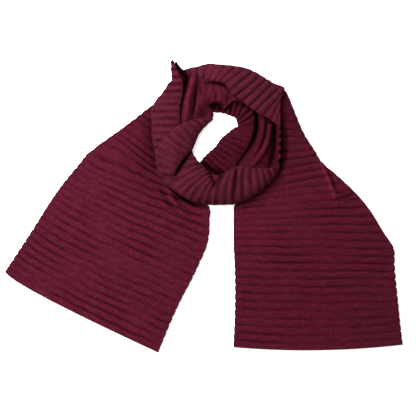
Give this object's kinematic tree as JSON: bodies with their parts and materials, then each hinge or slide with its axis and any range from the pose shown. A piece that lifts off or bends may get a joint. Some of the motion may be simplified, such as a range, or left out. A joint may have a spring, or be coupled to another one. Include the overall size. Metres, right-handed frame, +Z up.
{
  "type": "pleated scarf",
  "caption": "Wide pleated knit scarf wound round an empty neck opening and laid flat, its two ends spread like an open fan.",
  "frame": {"origin": "centre of the scarf's bounding box, on the table that it lies on", "axes": "+Z up from the table, +Y from the hems of the two tails towards the back of the neck opening, +X across both tails, to the right tail"},
  "size_m": [0.84, 0.6164, 0.0512],
  "materials": {
    "wine_knit": "matt brushed knit, burgundy wine, fine vertical ribs and soft pleats",
    "plum_knit": "matt brushed knit, burgundy with a plum cast, fine vertical ribs and soft pleats"
  },
  "bodies": {
    "root": {"left_tail": "wine_knit", "right_tail": "plum_knit", "left_band": "plum_knit", "left_roll": "plum_knit", "front_roll": "plum_knit", "top_band": "plum_knit", "standing_edge": "wine_knit", "right_folds": "wine_knit", "right_roll": "wine_knit", "back_layer": "wine_knit", "hidden_layers": "wine_knit"}
  },
  "joints": []
}
